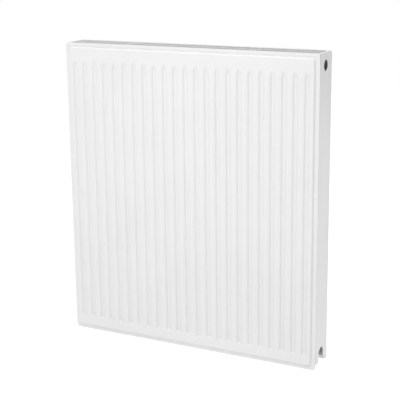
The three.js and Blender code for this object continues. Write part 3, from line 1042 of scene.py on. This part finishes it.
def bleed_screw(place):
    """A round shank with a chamfered square head for the key."""
    half = SQUARE_ACROSS / 2

    def square(out):
        return polygon_section(4, SQUARE_ACROSS, half + out)

    profile = [
        (SCREW_TIP, 0.0),
        (SCREW_TIP, SCREW_RADIUS - SCREW_TIP_CHAMFER),
        (SCREW_TIP + SCREW_TIP_CHAMFER, SCREW_RADIUS),
        (SQUARE_START, SCREW_RADIUS),
        (SQUARE_START, square(0.0)),
        (SQUARE_START + SQUARE_HEEL[0], square(SQUARE_HEEL[1])),
        *((SQUARE_END - x, square(out)) for x, out in SQUARE_NOSE),
        (SQUARE_END, 0.0),
    ]
    return turned("bleed_screw_fine", profile, place)


def blanking_plug(place):
    """The shank and the hexagon, with a hexagonal key socket sunk into its face."""

    def key(theta):
        return polygon_radius(theta, 6, KEY_ACROSS)

    profile = [(-SHANK_LENGTH, 0.0)] + plug_profile(BLANK_HEX_END) + [
        (BLANK_HEX_END, KEY_MOUTH),
        (BLANK_HEX_END - KEY_CHAMFER, key),
        (KEY_FLOOR, key),
        (KEY_FLOOR, 0.0),
    ]
    return turned("blanking_plug_fine", profile, place)


# Build


def build_panels():
    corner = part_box("front_panel_outer_sheet")[1]
    pitch_width = corner.x * 2
    # The inner sheets carry the painted shade grey, with the white coat round their rims.
    coat_rims(MATERIALS["inner_primer"], corner.x, corner.z)
    jobs = [
        ("front_panel_outer_sheet", -1, FACE_GROOVE_ENDS, "white_enamel"),
        ("front_panel_inner_sheet", 1, INNER_GROOVE_ENDS, "inner_primer"),
        ("rear_panel_inner_sheet", -1, INNER_GROOVE_ENDS, "inner_primer"),
        ("rear_panel_outer_sheet", 1, FACE_GROOVE_ENDS, "white_enamel"),
    ]
    for node, outward, ends, coat in jobs:
        mesh = pressed_sheet(node + "_fine", node, outward, ends, pitch_width)
        add_piece(node + "_fine", mesh, "radiator_body", coat, node, sharp=SHEET_SHARP)


def build_sheet_parts():
    weighted(add_piece("top_grille_fine", top_grille(), "grille", "white_enamel", "top_grille"))
    tee_low, tee_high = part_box("tapping_tee_top_right")
    socket_y = (tee_low.y + tee_high.y) / 2
    for name, side in (("left", -1), ("right", 1)):
        node = "side_cover_" + name
        mesh = side_cover(node, side, socket_y)
        weighted(add_piece(node + "_fine", mesh, "cover_" + name, "white_enamel", node))
        clip = "grille_clip_" + name
        bevelled(add_piece(clip + "_fine", grille_clip(clip), "grille", "nickel_plate", clip), CLIP_ROUND)
    # The convectors carry the painted shade grey too.
    for node, way in (("front_convector", -1), ("rear_convector", 1)):
        add_piece(node + "_fine", convector(node, way), "radiator_body", "inner_primer", node)
    for row in ("bottom", "top"):
        for name, side in (("left", -1), ("right", 1)):
            lug = f"hanging_lug_{row}_{name}"
            mesh = hanging_lug(lug)
            bevelled(add_piece(lug + "_fine", mesh, "radiator_body", "white_enamel", lug), LUG_ROUND)
            tee = f"tapping_tee_{row}_{name}"
            mesh = tapping_tee(tee, side)
            add_piece(tee + "_fine", mesh, "radiator_body", "tapping_steel", tee, sharp=TEE_SHARP)


def build_fittings():
    top_low, top_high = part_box("tapping_tee_top_left")
    low_low, low_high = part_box("tapping_tee_bottom_left")
    y = (top_low.y + top_high.y) / 2
    upper = along_x(-1, top_low.x, y, (top_low.z + top_high.z) / 2)
    lower = along_x(-1, low_low.x, y, (low_low.z + low_high.z) / 2)
    jobs = [
        ("air_vent_body", air_vent_body(upper), "radiator_body", "nickel_plate"),
        ("air_vent_seal", seal_ring("air_vent_seal", upper), "radiator_body", "seal_rubber"),
        ("air_vent_outlet", air_vent_outlet(upper), "vent_outlet", "white_plastic"),
        ("bleed_screw", bleed_screw(upper), "vent_screw", "nickel_plate"),
        ("blanking_plug", blanking_plug(lower), "radiator_body", "nickel_plate"),
        ("blanking_plug_seal", seal_ring("blanking_plug_seal", lower), "radiator_body", "seal_rubber"),
    ]
    for node, mesh, body, slot in jobs:
        add_piece(node + "_fine", mesh, body, slot, node, sharp=FITTING_SHARP)


def build_floor():
    """A wide pale floor that glows a little, so that it stays as white as the backdrop."""
    ticks = np.linspace(-FLOOR_REACH, FLOOR_REACH, FLOOR_LINES)
    vertices = [(x, y, FLOOR_LEVEL) for x in ticks for y in ticks]
    faces = []
    for i in range(FLOOR_LINES - 1):
        for j in range(FLOOR_LINES - 1):
            corner = i * FLOOR_LINES + j
            faces.append((corner, corner + FLOOR_LINES, corner + FLOOR_LINES + 1, corner + 1))
    floor = bpy.data.objects.new("floor", mesh_from("floor", vertices, faces))
    floor.data.materials.append(floor_paint())
    bpy.context.scene.collection.objects.link(floor)


def place_light(name, light, place, target):
    lamp = bpy.data.objects.new(name, light)
    lamp.location = place
    lamp.rotation_mode = "QUATERNION"
    lamp.rotation_quaternion = (Vector(place) - Vector(target)).to_track_quat("Z", "Y")
    bpy.context.scene.collection.objects.link(lamp)


def new_background(nodes, strength):
    background = nodes.new("ShaderNodeBackground")
    background.inputs["Color"].default_value = grey(1.0)
    background.inputs["Strength"].default_value = strength
    return background.outputs["Background"]


def build_world():
    """White all round: full white where the camera looks past the radiator, a weaker white as light."""
    world = bpy.data.worlds.new("studio")
    world.use_nodes = True
    nodes, links = world.node_tree.nodes, world.node_tree.links
    nodes.remove(nodes["Background"])
    path = nodes.new("ShaderNodeLightPath")
    mix = nodes.new("ShaderNodeMixShader")
    links.new(path.outputs["Is Camera Ray"], mix.inputs["Fac"])
    links.new(new_background(nodes, FILL_STRENGTH), mix.inputs[1])
    links.new(new_background(nodes, BACKDROP_STRENGTH), mix.inputs[2])
    links.new(mix.outputs["Shader"], nodes["World Output"].inputs["Surface"])
    bpy.context.scene.world = world


def build_light():
    """A white studio: soft light all round, a broad ceiling light and a softbox in front."""
    build_world()
    bpy.context.scene.view_settings.view_transform = "Standard"
    ceiling = bpy.data.lights.new("ceiling", "SUN")
    ceiling.energy = CEILING_STRENGTH
    ceiling.angle = math.radians(CEILING_SPREAD)
    place_light("ceiling", ceiling, CEILING_PLACE, (0.0, 0.0, 0.0))
    softbox = bpy.data.lights.new("softbox", "AREA")
    softbox.shape = "SQUARE"
    softbox.size = SOFTBOX_SIZE
    softbox.spread = math.radians(SOFTBOX_SPREAD)
    softbox.energy = SOFTBOX_POWER
    place_light("softbox", softbox, SOFTBOX_PLACE, SOFTBOX_TARGET)


def build_camera():
    azimuth, elevation = math.radians(CAMERA_AZIMUTH), math.radians(CAMERA_ELEVATION)
    back = Vector((
        math.sin(azimuth) * math.cos(elevation),
        -math.cos(azimuth) * math.cos(elevation),
        math.sin(elevation),
    ))
    camera = bpy.data.objects.new("camera", bpy.data.cameras.new("camera"))
    camera.location = CAMERA_TARGET + back * CAMERA_DISTANCE
    camera.rotation_mode = "QUATERNION"
    roll = Matrix.Rotation(math.radians(CAMERA_ROLL), 3, -back)
    camera.rotation_quaternion = roll.to_quaternion() @ (-back).to_track_quat("-Z", "Y")
    camera.data.lens = CAMERA_LENS
    camera.data.shift_y = CAMERA_SHIFT
    bpy.context.scene.collection.objects.link(camera)
    bpy.context.scene.camera = camera


build_camera()
build_light()
build_floor()
build_panels()
build_sheet_parts()
build_fittings()
